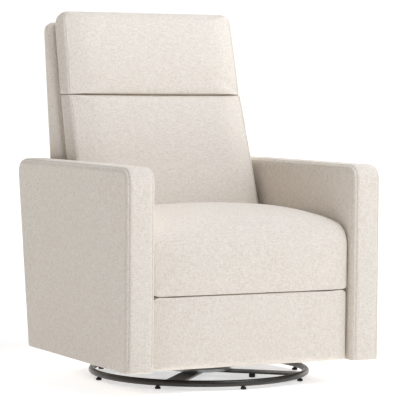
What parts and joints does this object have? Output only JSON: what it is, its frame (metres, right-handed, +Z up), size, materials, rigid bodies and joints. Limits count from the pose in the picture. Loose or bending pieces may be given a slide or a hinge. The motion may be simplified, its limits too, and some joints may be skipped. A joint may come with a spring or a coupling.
{
  "type": "swivel glider recliner",
  "caption": "Upholstered swivel glider recliner with slim arms, two-part reclining back, fold-out footrest and a round tube base.",
  "frame": {"origin": "on the floor, under the middle of the whole chair", "axes": "+Z up, front of the chair faces -Y, +X is to the right seen from the front"},
  "size_m": [0.76, 0.7836, 1.016],
  "materials": {
    "linen": "oatmeal linen-look weave, matte",
    "black_steel": "black powder coat, satin",
    "zinc_steel": "zinc plated",
    "timber": "sawn, unfinished",
    "rubber": "matte black"
  },
  "bodies": {
    "base": {"base_cross": "black_steel", "base_ring": "black_steel", "mid_glide_1": "rubber", "mid_glide_2": "rubber", "mid_glide_3": "rubber", "mid_glide_4": "rubber", "rim_glide_1": "rubber", "rim_glide_2": "rubber", "rim_glide_3": "rubber", "rim_glide_4": "rubber", "rim_glide_5": "rubber", "rim_glide_6": "rubber", "rim_glide_7": "rubber", "rim_glide_8": "rubber", "swivel_lower_plate": "zinc_steel"},
    "swivel": {"front_upper_shaft": "zinc_steel", "glider_tower_left": "black_steel", "glider_tower_right": "black_steel", "rear_upper_shaft": "zinc_steel", "swivel_ball_ring": "zinc_steel", "swivel_upper_plate": "black_steel"},
    "front_links": {"front_swing_link_left": "black_steel", "front_swing_link_right": "black_steel"},
    "rear_links": {"rear_swing_link_left": "black_steel", "rear_swing_link_right": "black_steel"},
    "platform": {"arm_core_left": "timber", "arm_core_right": "timber", "arm_cover_left": "linen", "arm_cover_right": "linen", "front_lower_shaft": "zinc_steel", "rear_apron": "linen", "rear_lower_shaft": "zinc_steel", "seat_cushion": "linen", "seat_front_border": "linen", "seat_rail_front": "timber", "seat_rail_left": "timber", "seat_rail_rear": "timber", "seat_rail_right": "timber", "seat_spring_1": "zinc_steel", "seat_spring_2": "zinc_steel", "seat_spring_3": "zinc_steel", "side_plate_left": "black_steel", "side_plate_right": "black_steel"},
    "backrest": {"back_cover": "linen", "back_post_left": "timber", "back_post_right": "timber", "back_rail_lower": "timber", "back_rail_upper": "timber", "headrest_cushion": "linen", "lumbar_cushion": "linen", "recline_bracket_left": "black_steel", "recline_bracket_right": "black_steel"},
    "footrest_lower": {"footrest_lower_link_left": "black_steel", "footrest_lower_link_right": "black_steel"},
    "footrest_upper": {"footrest_upper_link_left": "black_steel", "footrest_upper_link_right": "black_steel"},
    "footrest": {"footrest_bracket": "black_steel", "footrest_panel": "linen"}
  },
  "joints": [
    {"name": "swivel_turn", "type": "hinge", "parent": "base", "child": "swivel", "pos_m": [0, -0.0588, 0.03], "axis": [0, 0, 1], "continuous": true},
    {"name": "glide", "type": "hinge", "parent": "swivel", "child": "front_links", "pos_m": [0, -0.1788, 0.185], "axis": [-1, 0, 0], "range_deg": [-22, 22]},
    {"name": "rear_glide", "type": "hinge", "parent": "swivel", "child": "rear_links", "pos_m": [0, 0.0612, 0.185], "axis": [-1, 0, 0], "range_deg": [-22, 22]},
    {"name": "seat_level", "type": "hinge", "parent": "front_links", "child": "platform", "pos_m": [0, -0.1788, 0.06], "axis": [-1, 0, 0], "range_deg": [-22, 22]},
    {"name": "recline", "type": "hinge", "parent": "platform", "child": "backrest", "pos_m": [0, 0.1682, 0.38], "axis": [-1, 0, 0], "range_deg": [0, 32]},
    {"name": "footrest_swing", "type": "hinge", "parent": "platform", "child": "footrest_lower", "pos_m": [0, -0.2318, 0.236], "axis": [-1, 0, 0], "range_deg": [0, 78]},
    {"name": "footrest_fold", "type": "hinge", "parent": "footrest_lower", "child": "footrest_upper", "pos_m": [0, -0.2588, 0.082], "axis": [-1, 0, 0], "range_deg": [-117, 0]},
    {"name": "footrest_turn", "type": "hinge", "parent": "footrest_upper", "child": "footrest", "pos_m": [0, -0.3218, 0.236], "axis": [-1, 0, 0], "range_deg": [0, 125]}
  ],
  "couplings": [
    {"joint": "rear_glide", "follows": "glide", "ratio": 1},
    {"joint": "seat_level", "follows": "glide", "ratio": -1},
    {"joint": "footrest_fold", "follows": "footrest_swing", "ratio": -1.5},
    {"joint": "footrest_turn", "follows": "footrest_swing", "ratio": 1.6}
  ]
}
